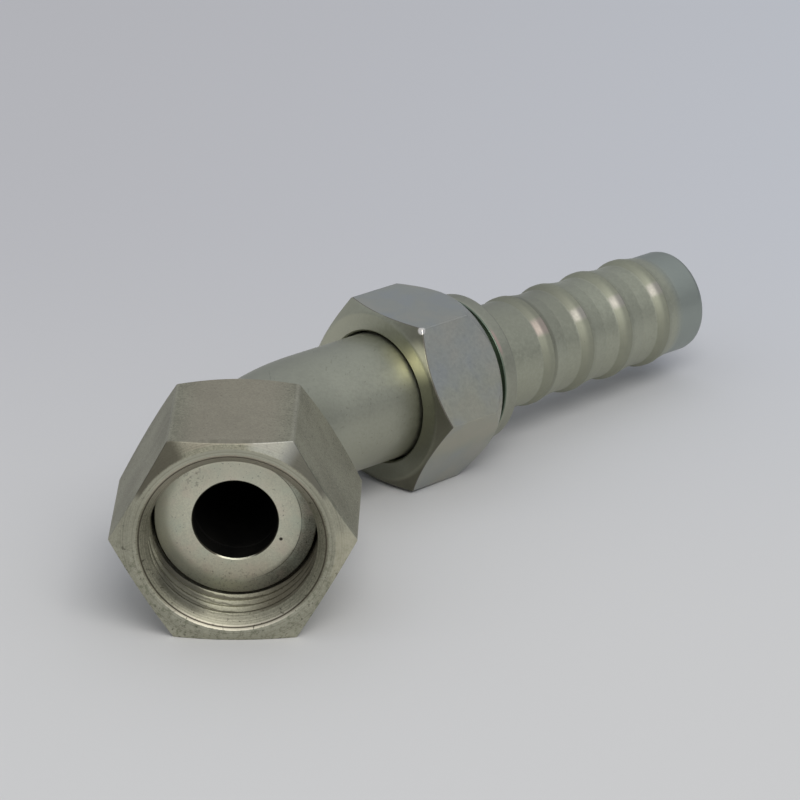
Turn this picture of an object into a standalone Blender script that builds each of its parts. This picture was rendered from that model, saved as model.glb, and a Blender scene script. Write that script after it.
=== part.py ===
"""Hydraulic hose fitting: a 45 degree swept elbow with a swivel nut at one end and a barbed insert at
the other. Four pieces: the swivel nut, the seat sleeve brazed on the tube, the bent tube and the
turned insert. Metres, +Z up. The fitting lies as it comes to rest: the nut stands on a flat, and the
elbow has turned in the nut until its middle hexagon meets the table.

Every piece is first made along a flow line that starts at the nut's front face and runs inwards.
Along that line, local +Z points down the flow; the whole fitting is laid down at the end.
"""
import math

import bpy
from mathutils import Matrix, Vector

# Clearances between pieces
BRAZE_GAP = 0.0003
RUNNING_CLEARANCE = 0.0004
SHOULDER_PLAY = 0.0003

# Bent tube
TUBE_DIAMETER = 0.0154
TUBE_WALL = 0.00295
BEND_ANGLE = math.radians(45)
BEND_RADIUS = 0.024
STRAIGHT_BEHIND_NUT = 0.0001
STRAIGHT_BEFORE_HEX = 0.0106

# Seat sleeve, the head that carries the flat sealing face
HEAD_WALL = 0.0011
HEAD_LENGTH = 0.0069
HEAD_SOCKET_DEPTH = 0.0042
SEAT_BEVEL_WIDTH = 0.00165
SEAT_BEVEL_DEPTH = 0.00035
BORE_EDGE_BREAK = 0.00015
HEAD_EDGE_BREAK = 0.0003

# Swivel nut
SEAT_DEPTH = 0.0061
THREAD_CLEARANCE = 0.00036
THREAD_DEPTH = 0.00087
MOUTH_CLEARANCE = 0.00015
MOUTH_LIP_WIDTH = 0.00025
MOUTH_LIP_DEPTH = 0.0001
RELIEF_CLEARANCE = 0.00012
RELIEF_WIDTH = 0.0022
NUT_WALL = 0.00167
NUT_BACK_WALL = 0.0049
NUT_FRONT_LAND_INSET = 0.00043
NUT_BACK_LAND_INSET = 0.00025
NUT_FRONT_CHAMFER = math.radians(23)
NUT_BACK_CHAMFER = math.radians(30)
NUT_HOLE_EDGE_BREAK = 0.0004

# Hose insert: hexagon, locking groove and collar
HEX_WALL = 0.0025
HEX_LENGTH = 0.011
HEX_SOCKET_DEPTH = 0.006
HEX_FRONT_LAND_INSET = 0.0003
HEX_BACK_LAND_INSET = 0.0001
HEX_FRONT_CHAMFER = math.radians(30)
HEX_BACK_CHAMFER = math.radians(57)
SOCKET_EDGE_BREAK = 0.0002
GROOVE_WIDTH = 0.0018
GROOVE_WALL = 0.0036
COLLAR_DIAMETER = 0.0182
COLLAR_WIDTH = 0.00215
COLLAR_EDGE_BREAK = 0.0003

# Hose insert: neck, barbs and nose
INSERT_BORE_DIAMETER = 0.0092
VALLEY_WALL = 0.00174
NECK_STEP = 0.00019
NECK_LENGTH = 0.00685
NECK_FILLET = 0.0004
BARB_HEIGHT = 0.00048
BARB_COUNT = 4
BARB_PITCH = 0.00672
BARB_FACE_LENGTH = 0.0009
BARB_CREST_LENGTH = 0.0009
BARB_BACK_STEP = 0.00012
BARB_BACK_LENGTH = 0.0026
NOSE_LENGTH = 0.0044
NOSE_ROUND = 0.0009
NOSE_BORE_CHAMFER = 0.0004

# Facets
TURNED_STEPS = 64
TUBE_SIDES = 48
BEND_STEPS = 14
ARC_STEPS = 3
MERGE_DISTANCE = 0.000001

# How far bar stock and cutters reach past the finished shape
BLANK_MARGIN = 0.0005
CUTTER_MARGIN = 0.002

# Sizes that follow from the ones above, from the tube outwards
TUBE_RADIUS = TUBE_DIAMETER / 2
TUBE_BORE_RADIUS = TUBE_RADIUS - TUBE_WALL
SOCKET_RADIUS = TUBE_RADIUS + BRAZE_GAP
HEAD_RADIUS = SOCKET_RADIUS + HEAD_WALL
THREAD_MINOR_RADIUS = HEAD_RADIUS + THREAD_CLEARANCE
THREAD_MAJOR_RADIUS = THREAD_MINOR_RADIUS + THREAD_DEPTH
MOUTH_RADIUS = THREAD_MAJOR_RADIUS + MOUTH_CLEARANCE
RELIEF_RADIUS = THREAD_MAJOR_RADIUS + RELIEF_CLEARANCE
NUT_ACROSS_FLATS = 2 * (THREAD_MAJOR_RADIUS + NUT_WALL)
NUT_HOLE_RADIUS = TUBE_RADIUS + RUNNING_CLEARANCE
HEX_ACROSS_FLATS = 2 * (SOCKET_RADIUS + HEX_WALL)
INSERT_BORE_RADIUS = INSERT_BORE_DIAMETER / 2
VALLEY_RADIUS = INSERT_BORE_RADIUS + VALLEY_WALL
NECK_RADIUS = VALLEY_RADIUS + NECK_STEP
BARB_RADIUS = VALLEY_RADIUS + BARB_HEIGHT

# Places along the flow line, from the nut's front face
HEAD_BACK = SEAT_DEPTH + HEAD_LENGTH
NUT_SHOULDER = HEAD_BACK + SHOULDER_PLAY
NUT_LENGTH = NUT_SHOULDER + NUT_BACK_WALL
TUBE_START = HEAD_BACK - HEAD_SOCKET_DEPTH + BRAZE_GAP
BEND_START = NUT_LENGTH + STRAIGHT_BEHIND_NUT

# Places along the insert, from the front face of its hexagon
GROOVE_END = HEX_LENGTH + GROOVE_WIDTH
COLLAR_END = GROOVE_END + COLLAR_WIDTH
NECK_END = COLLAR_END + NECK_LENGTH
BARB_LENGTH = BARB_FACE_LENGTH + BARB_CREST_LENGTH + BARB_BACK_LENGTH
LAST_BARB_END = NECK_END + (BARB_COUNT - 1) * BARB_PITCH + BARB_LENGTH
INSERT_LENGTH = LAST_BARB_END + NOSE_LENGTH


def clear_scene():
    for old in list(bpy.data.objects):
        bpy.data.objects.remove(old, do_unlink=True)


def new_collection(name):
    collection = bpy.data.collections.new(name)
    bpy.context.scene.collection.children.link(collection)
    return collection


def zinc_plate(name, color, roughness):
    """Dull zinc-plated steel."""
    material = bpy.data.materials.new(name)
    material.use_nodes = True
    shader = material.node_tree.nodes["Principled BSDF"]
    shader.inputs["Base Color"].default_value = (*color, 1)
    shader.inputs["Metallic"].default_value = 0.9
    shader.inputs["Roughness"].default_value = roughness
    return material


def turned(name, profile, steps, collection, material=None):
    """A body turned about local Z from a closed profile of (radius, height) points. The profile
    runs down its outer side and up its inner side."""
    points = [(radius, 0, height) for radius, height in profile]
    edges = [(i, (i + 1) % len(points)) for i in range(len(points))]
    mesh = bpy.data.meshes.new(name)
    mesh.from_pydata(points, edges, [])
    body = bpy.data.objects.new(name, mesh)
    collection.objects.link(body)
    if material:
        mesh.materials.append(material)
    screw = body.modifiers.new("Turn", "SCREW")
    screw.steps = steps
    screw.render_steps = steps
    screw.use_merge_vertices = True
    screw.merge_threshold = MERGE_DISTANCE
    screw.use_smooth_shade = True
    return body


def blank_radius(across_flats):
    """Radius of the round bar that a hexagon is cut from, a little outside the hexagon's corners."""
    return across_flats / math.sqrt(3) + BLANK_MARGIN


def flats_cutter(name, across_flats, low, high, collection):
    """A ring with a hexagonal hole. Cutting it away leaves six flats, with a corner on local X."""
    corner = across_flats / math.sqrt(3)
    outside = 2 * blank_radius(across_flats) / math.sqrt(3) + CUTTER_MARGIN
    ring = turned(name, [(outside, high), (outside, low), (corner, low), (corner, high)], 6, collection)
    ring.hide_render = True
    ring.display_type = "WIRE"
    return ring


def cut(body, cutter):
    boolean = body.modifiers.new("Mill the flats", "BOOLEAN")
    boolean.operation = "DIFFERENCE"
    boolean.solver = "EXACT"
    boolean.object = cutter


def quarter_round(radius, height, size, start_degrees):
    """Points of a rounded corner about a centre, through a quarter turn clockwise in the profile."""
    points = []
    for i in range(ARC_STEPS + 1):
        angle = math.radians(start_degrees - 90 * i / ARC_STEPS)
        points.append((radius + size * math.cos(angle), height + size * math.sin(angle)))
    return points


def nut_profile():
    flat_radius = NUT_ACROSS_FLATS / 2
    blank = blank_radius(NUT_ACROSS_FLATS)
    front_land = flat_radius - NUT_FRONT_LAND_INSET
    back_land = flat_radius - NUT_BACK_LAND_INSET
    front_drop = (blank - front_land) * math.tan(NUT_FRONT_CHAMFER)
    back_drop = (blank - back_land) * math.tan(NUT_BACK_CHAMFER)
    outside = [
        (back_land, NUT_LENGTH),
        (blank, NUT_LENGTH - back_drop),
        (blank, front_drop),
        (front_land, 0),
    ]
    mouth_depth = MOUTH_LIP_DEPTH + MOUTH_RADIUS - THREAD_MINOR_RADIUS
    relief_start = NUT_SHOULDER - RELIEF_WIDTH
    relief_lead = RELIEF_RADIUS - THREAD_MINOR_RADIUS
    inside = [
        (MOUTH_RADIUS + MOUTH_LIP_WIDTH, 0),
        (MOUTH_RADIUS, MOUTH_LIP_DEPTH),
        (THREAD_MINOR_RADIUS, mouth_depth),
        (THREAD_MINOR_RADIUS, relief_start - relief_lead),
        (RELIEF_RADIUS, relief_start),
        (RELIEF_RADIUS, NUT_SHOULDER),
        (NUT_HOLE_RADIUS, NUT_SHOULDER),
        (NUT_HOLE_RADIUS, NUT_LENGTH - NUT_HOLE_EDGE_BREAK),
        (NUT_HOLE_RADIUS + NUT_HOLE_EDGE_BREAK, NUT_LENGTH),
    ]
    return outside + inside


def make_swivel_nut(parts, cutters, material):
    nut = turned("swivel_nut", nut_profile(), TURNED_STEPS, parts, material)
    cutter = flats_cutter("swivel_nut_flats", NUT_ACROSS_FLATS, -CUTTER_MARGIN,
                          NUT_LENGTH + CUTTER_MARGIN, cutters)
    cut(nut, cutter)
    return nut, cutter


def sleeve_profile():
    socket_floor = HEAD_BACK - HEAD_SOCKET_DEPTH
    return [
        (HEAD_RADIUS - HEAD_EDGE_BREAK, HEAD_BACK),
        (HEAD_RADIUS, HEAD_BACK - HEAD_EDGE_BREAK),
        (HEAD_RADIUS, SEAT_DEPTH + SEAT_BEVEL_DEPTH),
        (HEAD_RADIUS - SEAT_BEVEL_WIDTH, SEAT_DEPTH),
        (TUBE_BORE_RADIUS + BORE_EDGE_BREAK, SEAT_DEPTH),
        (TUBE_BORE_RADIUS, SEAT_DEPTH + BORE_EDGE_BREAK),
        (TUBE_BORE_RADIUS, socket_floor),
        (SOCKET_RADIUS, socket_floor),
        (SOCKET_RADIUS, HEAD_BACK),
    ]


def make_seat_sleeve(parts, material):
    return turned("seat_sleeve", sleeve_profile(), TURNED_STEPS, parts, material)


def centre_line():
    """Points of the tube's middle, straight through the nut, round the bend and on to the insert.
    The last value is the frame of the insert: its origin lies at the middle hexagon's front face."""
    points = [Vector((0, 0, TUBE_START))]
    for i in range(BEND_STEPS + 1):
        angle = BEND_ANGLE * i / BEND_STEPS
        sideways = BEND_RADIUS * (1 - math.cos(angle))
        forwards = BEND_RADIUS * math.sin(angle)
        points.append(Vector((sideways, 0, BEND_START + forwards)))
    direction = Vector((math.sin(BEND_ANGLE), 0, math.cos(BEND_ANGLE)))
    hex_front = points[-1] + direction * STRAIGHT_BEFORE_HEX
    points.append(hex_front + direction * (HEX_SOCKET_DEPTH - BRAZE_GAP))
    frame = Matrix.Translation(hex_front) @ Matrix.Rotation(BEND_ANGLE, 4, "Y")
    return points, frame


def make_bent_tube(parts, material):
    """The outer skin is a curve with a round bevel, and Solidify gives it its wall."""
    points, _ = centre_line()
    curve = bpy.data.curves.new("tube_path", "CURVE")
    curve.dimensions = "3D"
    curve.bevel_depth = TUBE_RADIUS
    curve.bevel_resolution = TUBE_SIDES // 2 - 2
    spline = curve.splines.new("POLY")
    spline.points.add(len(points) - 1)
    for place, point in zip(spline.points, points):
        place.co = (*point, 1)
    path = bpy.data.objects.new("tube_path", curve)
    parts.objects.link(path)
    bpy.context.view_layer.update()
    skin = bpy.data.meshes.new_from_object(path.evaluated_get(bpy.context.evaluated_depsgraph_get()))
    bpy.data.objects.remove(path)
    tube = bpy.data.objects.new("bent_tube", skin)
    skin.materials.clear()
    skin.materials.append(material)
    skin.shade_smooth()
    parts.objects.link(tube)
    wall = tube.modifiers.new("Wall", "SOLIDIFY")
    wall.thickness = TUBE_WALL
    wall.offset = -1
    wall.use_even_offset = True
    return tube


def barb_profile(start, foot_radius):
    """One barb from its tip side to its hexagon side: the back, a small step and a long taper, then
    the crest, and the steeper face. The face starts at the given height and radius."""
    crest_start = start + BARB_FACE_LENGTH
    crest_end = crest_start + BARB_CREST_LENGTH
    return [
        (VALLEY_RADIUS, crest_end + BARB_BACK_LENGTH),
        (BARB_RADIUS - BARB_BACK_STEP, crest_end + BARB_BACK_STEP),
        (BARB_RADIUS, crest_end),
        (BARB_RADIUS, crest_start),
        (foot_radius, start),
    ]


def insert_profile():
    flat_radius = HEX_ACROSS_FLATS / 2
    blank = blank_radius(HEX_ACROSS_FLATS)
    front_land = flat_radius - HEX_FRONT_LAND_INSET
    back_land = flat_radius - HEX_BACK_LAND_INSET
    front_drop = (blank - front_land) * math.tan(HEX_FRONT_CHAMFER)
    back_drop = (blank - back_land) * math.tan(HEX_BACK_CHAMFER)
    collar_radius = COLLAR_DIAMETER / 2
    groove_radius = INSERT_BORE_RADIUS + GROOVE_WALL

    outside = quarter_round(VALLEY_RADIUS - NOSE_ROUND, INSERT_LENGTH - NOSE_ROUND, NOSE_ROUND, 90)
    for barb in range(BARB_COUNT - 1, 0, -1):
        outside += barb_profile(NECK_END + barb * BARB_PITCH, VALLEY_RADIUS)
    outside += barb_profile(NECK_END, NECK_RADIUS)
    outside += [
        (NECK_RADIUS, COLLAR_END + NECK_FILLET),
        (NECK_RADIUS + NECK_FILLET, COLLAR_END),
        (collar_radius - COLLAR_EDGE_BREAK, COLLAR_END),
        (collar_radius, COLLAR_END - COLLAR_EDGE_BREAK),
        (collar_radius, GROOVE_END + COLLAR_EDGE_BREAK),
        (collar_radius - COLLAR_EDGE_BREAK, GROOVE_END),
        (groove_radius, GROOVE_END),
        (groove_radius, HEX_LENGTH),
        (back_land, HEX_LENGTH),
        (blank, HEX_LENGTH - back_drop),
        (blank, front_drop),
        (front_land, 0),
    ]
    inside = [
        (SOCKET_RADIUS + SOCKET_EDGE_BREAK, 0),
        (SOCKET_RADIUS, SOCKET_EDGE_BREAK),
        (SOCKET_RADIUS, HEX_SOCKET_DEPTH),
        (INSERT_BORE_RADIUS, HEX_SOCKET_DEPTH),
        (INSERT_BORE_RADIUS, INSERT_LENGTH - NOSE_BORE_CHAMFER),
        (INSERT_BORE_RADIUS + NOSE_BORE_CHAMFER, INSERT_LENGTH),
    ]
    return outside + inside


def make_hose_insert(parts, cutters, material):
    insert = turned("hose_insert", insert_profile(), TURNED_STEPS, parts, material)
    middle_of_groove = HEX_LENGTH + GROOVE_WIDTH / 2
    cutter = flats_cutter("hose_insert_flats", HEX_ACROSS_FLATS, -CUTTER_MARGIN,
                          middle_of_groove, cutters)
    cut(insert, cutter)
    return insert, cutter


def world_points(pieces):
    """The corners of the finished pieces, with their modifiers, in the world."""
    bpy.context.view_layer.update()
    graph = bpy.context.evaluated_depsgraph_get()
    points = []
    for piece in pieces:
        shape = piece.evaluated_get(graph)
        mesh = shape.to_mesh()
        points += [shape.matrix_world @ vertex.co for vertex in mesh.vertices]
        shape.to_mesh_clear()
    return points


def drop_angle(points, height):
    """How far the elbow turns about the nut's axis before its first point meets the table, which
    lies the given height below that axis."""
    angles = []
    for point in points:
        reach = math.hypot(point.x, point.z)
        if reach > height and point.x > 0:
            angles.append(math.asin(height / reach) - math.atan2(-point.z, point.x))
    return min(angles)


def lay_down(nut_pieces, elbow_pieces, collection):
    """Put the flow line along +Y with the nut on a flat, turn the elbow in the nut until it rests,
    and put the middle of the fitting's box over the origin."""
    along_y = Matrix.Rotation(math.radians(-90), 4, "X")
    axis_height = NUT_ACROSS_FLATS / 2
    fitting = bpy.data.objects.new("fitting", None)
    elbow = bpy.data.objects.new("elbow", None)
    for empty in (fitting, elbow):
        collection.objects.link(empty)
    elbow.parent = fitting
    for piece in nut_pieces:
        piece.parent = fitting
        piece.matrix_basis = along_y @ piece.matrix_basis
    for piece in elbow_pieces:
        piece.parent = elbow
        piece.matrix_basis = along_y @ piece.matrix_basis
    solids = [piece for piece in elbow_pieces if not piece.hide_render]
    elbow.rotation_euler.y = drop_angle(world_points(solids), axis_height)
    solids += [piece for piece in nut_pieces if not piece.hide_render]
    points = world_points(solids)
    middle_x = (min(p.x for p in points) + max(p.x for p in points)) / 2
    middle_y = (min(p.y for p in points) + max(p.y for p in points)) / 2
    fitting.location = (-middle_x, -middle_y, axis_height)


def main():
    clear_scene()
    parts = new_collection("crimp_hose_fitting")
    cutters = new_collection("cutters")
    nut_zinc = zinc_plate("nut_zinc", (0.36, 0.34, 0.28), 0.42)
    seat_zinc = zinc_plate("seat_zinc", (0.42, 0.41, 0.33), 0.36)
    tube_zinc = zinc_plate("tube_zinc", (0.37, 0.38, 0.33), 0.34)
    insert_zinc = zinc_plate("insert_zinc", (0.37, 0.38, 0.34), 0.35)

    nut, nut_cutter = make_swivel_nut(parts, cutters, nut_zinc)
    sleeve = make_seat_sleeve(parts, seat_zinc)
    tube = make_bent_tube(parts, tube_zinc)
    insert, insert_cutter = make_hose_insert(parts, cutters, insert_zinc)
    _, insert_frame = centre_line()
    insert.matrix_basis = insert_frame
    insert_cutter.matrix_basis = insert_frame
    lay_down([nut, nut_cutter], [sleeve, tube, insert, insert_cutter], parts)


main()
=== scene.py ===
# %% [markdown]
# This object is a steel fitting for a crimped hose: a swivel nut on a bent tube, and a barbed insert
# that goes into the hose. The packed CAD model gives the true sizes and places. Its round faces are
# made of flats, so it could be dressed as it is only from far away. The script loads it for its frame
# and builds a finer piece in the place of each node. The CAD's pieces stay in the scene, hidden.

import math

import bpy
import numpy as np
from mathutils import Matrix, Vector


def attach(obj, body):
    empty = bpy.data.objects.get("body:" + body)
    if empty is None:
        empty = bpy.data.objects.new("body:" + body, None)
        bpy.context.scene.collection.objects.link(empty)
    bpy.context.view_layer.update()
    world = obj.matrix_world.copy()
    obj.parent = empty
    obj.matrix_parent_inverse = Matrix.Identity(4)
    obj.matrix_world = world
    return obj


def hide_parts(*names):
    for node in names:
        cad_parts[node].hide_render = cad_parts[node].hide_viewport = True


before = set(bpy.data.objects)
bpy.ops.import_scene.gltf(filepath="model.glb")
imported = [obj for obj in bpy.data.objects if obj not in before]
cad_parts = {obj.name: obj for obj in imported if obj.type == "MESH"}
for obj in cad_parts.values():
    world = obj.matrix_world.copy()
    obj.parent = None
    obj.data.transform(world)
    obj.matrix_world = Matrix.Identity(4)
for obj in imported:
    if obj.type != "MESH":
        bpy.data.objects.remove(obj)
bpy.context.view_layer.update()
MM = 0.001

# %% [markdown]
# The nut turns about the +Y axis of the frame. The tube leaves it along that axis and bends by 45
# degrees, and the insert follows the bent end. The elbow is rolled a little in the nut, until the
# insert's hexagon meets the table. Every point could be written in the frame's own x, y and z. Two
# local frames, one for the nut and one for the insert, are easier to read, because each piece then
# has a radius, an angle and a depth, as a turned part is drawn.

# %% Local frames of the nut and the insert, in mm
NUT_FRONT = np.array([-20.277, -41.369, 12.0])
BEND_START, BEND_RADIUS, BEND_ANGLE, STRAIGHT_AFTER = 18.3, 24.0, math.radians(45), 10.6
BEND_END = BEND_START + BEND_RADIUS * BEND_ANGLE
HEX_AT = BEND_END + STRAIGHT_AFTER
ROLL = math.radians(3.528)

flow = np.array([0.0, 1.0, 0.0])
sideways = np.array([math.cos(ROLL), 0.0, -math.sin(ROLL)])
downward = np.cross(flow, sideways)


def along_tube(s):
    """Centre and direction of the tube at the length s behind the nut's front face."""
    turn = min(max((s - BEND_START) / BEND_RADIUS, 0.0), BEND_ANGLE)
    direction = flow * math.cos(turn) + sideways * math.sin(turn)
    bend = BEND_RADIUS * (flow * math.sin(turn) + sideways * (1 - math.cos(turn)))
    centre = NUT_FRONT + flow * min(s, BEND_START) + bend
    return centre + direction * max(s - BEND_END, 0.0), direction


hex_front, hex_axis = along_tube(HEX_AT)
nut_frame = (NUT_FRONT, np.array([1.0, 0, 0]), np.array([0, 0, 1.0]), flow)
hex_frame = (hex_front, np.cross(downward, hex_axis), downward, hex_axis)
print("hexagon front in mm:", hex_front.round(3), "axis:", hex_axis.round(4))

# %% [markdown]
# Every piece is a ring: its cross section is one closed line of radius and depth, which goes round an
# axis. The real pieces are turned on a lathe, and their corners are never quite sharp. A Bevel
# modifier could round them, but it needs care at every mesh corner. Here each corner of a section
# has a fillet of its own, worked out before there is a mesh, and its size is a plain number in mm.

# %% Sections with rounded corners
FILLET_STEPS = 3
LONGEST_CUT = 0.8
TINY = 1e-9


def unit(arm):
    """An arm in the same direction, 1 long."""
    return arm / max(np.linalg.norm(arm), TINY)


def rounded(corners, steps=FILLET_STEPS):
    """Points of a closed section. A corner is (radius, depth, fillet), and a fillet of 0 is sharp.

    The number of points depends only on the fillets that are 0, so the sections at all angles of a
    piece can be joined point by point. A fillet takes at most LONGEST_CUT of the side next to it."""
    out = []
    for k, (r, z, fillet) in enumerate(corners):
        here = np.array([r, z])
        if fillet <= 0:
            out.append(here)
            continue
        to_last = np.array(corners[k - 1][:2]) - here
        to_next = np.array(corners[(k + 1) % len(corners)][:2]) - here
        room = LONGEST_CUT * min(np.linalg.norm(to_last), np.linalg.norm(to_next))
        to_last, to_next = unit(to_last), unit(to_next)
        half = math.acos(max(-1.0, min(1.0, float(to_last @ to_next)))) / 2
        slant = max(math.tan(half), TINY)
        cut = min(fillet / slant, room)
        radius = cut * slant
        centre = here + unit(to_last + to_next) * radius / max(math.sin(half), TINY)
        start, end = here + to_last * cut - centre, here + to_next * cut - centre
        for t in np.linspace(0, 1, steps + 1):
            out.append(centre + unit(start * (1 - t) + end * t) * radius)
    return np.array(out)


SQUARE = [(5, 0, 0.1), (6, 0, 0.1), (6, 1, 0.1), (5, 1, 0.1)]
print("points of a square section with four fillets:", len(rounded(SQUARE)))

# %% [markdown]
# The nut and the insert begin as hexagon bar, and a lathe chamfers their ends. The curved line where
# the cone of a chamfer cuts a flat is what makes such a part look real. It could be cut with a
# Boolean. Here the outer radius is worked out anew at each angle instead, so the curve comes out
# exact, and the mesh is made of clean quads that shade smoothly.

# %% Outline of a hexagon bar
ANGLES_AT_CORNER = [0, 0.15, 0.3, 0.45, 0.6, 0.8, 1.1]
LEAST_CHAMFER = 0.02


def hex_radius(angle, apothem, edge):
    """Distance from the axis to a hexagon with rounded edges. A corner lies at angle 0."""
    off = (angle + math.pi / 6) % (math.pi / 3) - math.pi / 6
    arm = (apothem - edge) / math.cos(math.pi / 6)
    if abs(off) < math.atan2(edge / 2, arm + edge * math.cos(math.pi / 6)):
        return arm * math.cos(off) + math.sqrt(edge**2 - (arm * math.sin(off)) ** 2)
    return apothem / math.cos(math.pi / 6 - abs(off))


def hex_angles(between):
    """Angles round a hexagon, close together at its corners, with a number of them on each half flat."""
    sixth = ANGLES_AT_CORNER + list(np.linspace(2, 30, between))
    sixth = sixth + [60 - a for a in sixth[-2:0:-1]]
    return np.radians([a + 60 * k for k in range(6) for a in sixth])


def bar_section(angle, apothem, edge, front, back, crease):
    """Outer corners of a hexagon bar at one angle. front and back are (depth, land radius, slope,
    fillet), and crease is the fillet where a chamfer meets a flat."""
    reach = hex_radius(angle, apothem, edge)
    z0, land0, slope0, fillet0 = front
    z1, land1, slope1, fillet1 = back
    return [
        (land0, z0, fillet0),
        (reach, z0 + max(reach - land0, LEAST_CHAMFER) * math.tan(slope0), crease),
        (reach, z1 - max(reach - land1, LEAST_CHAMFER) * math.tan(slope1), crease),
        (land1, z1, fillet1),
    ]


print("radius of a 24 mm hexagon at a corner:", round(hex_radius(0, 12, 0.25), 2),
      "and on a flat:", round(hex_radius(math.pi / 6, 12, 0.25), 2))

# %% [markdown]
# The sections are joined into a mesh of quads that closes on itself both ways. A Smooth by Angle
# modifier could shade it. Here the normal at each vertex is the sum of the faces round it by area, so
# a large flat face stays flat to its edge and only the narrow fillet turns. A machined edge catches
# the light in the same way. Each piece then rides on its body, so that it moves with the joint.

# %% Mesh from a grid of points
BORE_MARGIN = 0.16


def area_normals(points, quads):
    """The normal at each vertex, from the faces round it by area, and the quads, turned if they need
    it so that they face out of the piece."""
    a, b, c, d = (points[quads[:, k]] for k in range(4))
    normals = np.cross(c - a, d - b)
    if float(((a + b + c + d) * normals).sum()) < 0:
        quads, normals = quads[:, ::-1], -normals
    at_vertex = np.zeros_like(points)
    for k in range(4):
        np.add.at(at_vertex, quads[:, k], normals)
    return at_vertex / np.maximum(np.linalg.norm(at_vertex, axis=1), TINY)[:, None], quads


def ring_piece(name, grid, in_bore, body, node):
    """Makes a mesh from grid[i, j], in mm, closed both ways. It rides on a body in place of a node.

    in_bore[j] is True where the strip of faces after j has the second material, the dark bore."""
    rows, cols = grid.shape[:2]
    i, j = np.meshgrid(np.arange(rows), np.arange(cols), indexing="ij")
    i2, j2 = (i + 1) % rows, (j + 1) % cols
    quads = np.stack([i * cols + j, i2 * cols + j, i2 * cols + j2, i * cols + j2], -1).reshape(-1, 4)
    points = grid.reshape(-1, 3)
    normals, quads = area_normals(points, quads)
    mesh = bpy.data.meshes.new(name)
    mesh.from_pydata((points * MM).tolist(), [], quads.tolist())
    mesh.polygons.foreach_set("use_smooth", np.ones(len(quads), bool))
    mesh.polygons.foreach_set("material_index", np.tile(np.asarray(in_bore, np.int32), rows))
    mesh.normals_split_custom_set_from_vertices(normals.tolist())
    mesh.update()
    piece = bpy.data.objects.new(name, mesh)
    bpy.context.scene.collection.objects.link(piece)
    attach(piece, body)
    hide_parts(node)
    size = (points.max(0) - points.min(0)).round(2)
    print(name, "quads:", len(quads), "size in mm:", size)
    return piece


def bore_strips(section, radius, front=-1.0):
    """True for each strip of a section that lies on the bore, deeper than its front lip."""
    on = (section[:, 0] < radius + BORE_MARGIN) & (section[:, 1] > front)
    return on & np.roll(on, -1)


def sweep(local, angles, sections):
    """Points of a local frame from one section of (radius, depth) at each angle."""
    origin, x, y, z = local
    r, depth = sections[..., 0:1], sections[..., 1:2]
    c, s = np.cos(angles)[:, None, None], np.sin(angles)[:, None, None]
    return origin + r * (c * x + s * y) + depth * z


round_angles = np.linspace(0, 2 * math.pi, 192, endpoint=False)
print("angles round a turned piece:", len(round_angles))

# %% [markdown]
# The swivel nut pulls the fitting on to its mating part with a fine inch thread. The thread could be a
# bump in the material, but a bump has no dark roots and goes flat at a steep angle. So it is real
# geometry: the radius at a point depends on its depth less one pitch per turn, which makes one helix.

# %% Thread of the nut
NUT_APOTHEM, NUT_LENGTH, PITCH = 12.0, 18.2, 25.4 / 16
MINOR, MAJOR, RELIEF = 9.46, 10.33, 10.45
THREAD_START, THREAD_END = 1.12, 11.1
HALF_CREST, HALF_ROOT, RUN_IN, RUN_OUT = 0.16, 0.13, 0.25, 0.6
FIRST_POINT, POINT_STEP = 0.06, 0.085


def thread_radius(depth, angle):
    """Radius of the thread's surface: narrow flat crests, 60 degree flanks and narrow roots."""
    phase = ((depth / PITCH - angle / (2 * math.pi)) % 1.0) * PITCH
    flank = PITCH / 2 - HALF_CREST - HALF_ROOT
    cut = np.clip((np.abs(phase - PITCH / 2) - HALF_CREST) / flank, 0, 1)
    run_in = np.clip((depth - THREAD_START) / RUN_IN, 0, 1)
    run_out = np.clip((THREAD_END - depth) / RUN_OUT, 0, 1)
    return MINOR + (MAJOR - MINOR) * cut * run_in * run_out + (RELIEF - MINOR) * (1 - run_out)


thread_depths = np.arange(THREAD_START + FIRST_POINT, THREAD_END, POINT_STEP)[::-1]
print("turns of thread:", round((THREAD_END - THREAD_START) / PITCH, 1))
print("points along the thread:", len(thread_depths))

# %% [markdown]
# The nut itself is cut from hexagon bar. Its mouth has a countersink, then the thread, then a plain
# relief and a shoulder that pulls on the sleeve inside. Its back hole lets the tube through. One
# section holds all of this, and the thread's points are set in between the relief and the countersink.

# %% Swivel nut
NUT_LAND, NUT_SLOPE, NUT_EDGE = 11.4, math.radians(21.6), 0.25
BACK_LAND, BACK_SLOPE = 11.95, math.radians(40)
MOUTH, LIP, COUNTERSINK = (10.75, 0), (10.48, 0.18), (10.40, 0.16)
SHOULDER, SHOULDER_CHAMFER = 13.3, 0.3
HOLE, HOLE_CHAMFER = 8.1, 0.4


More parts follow.
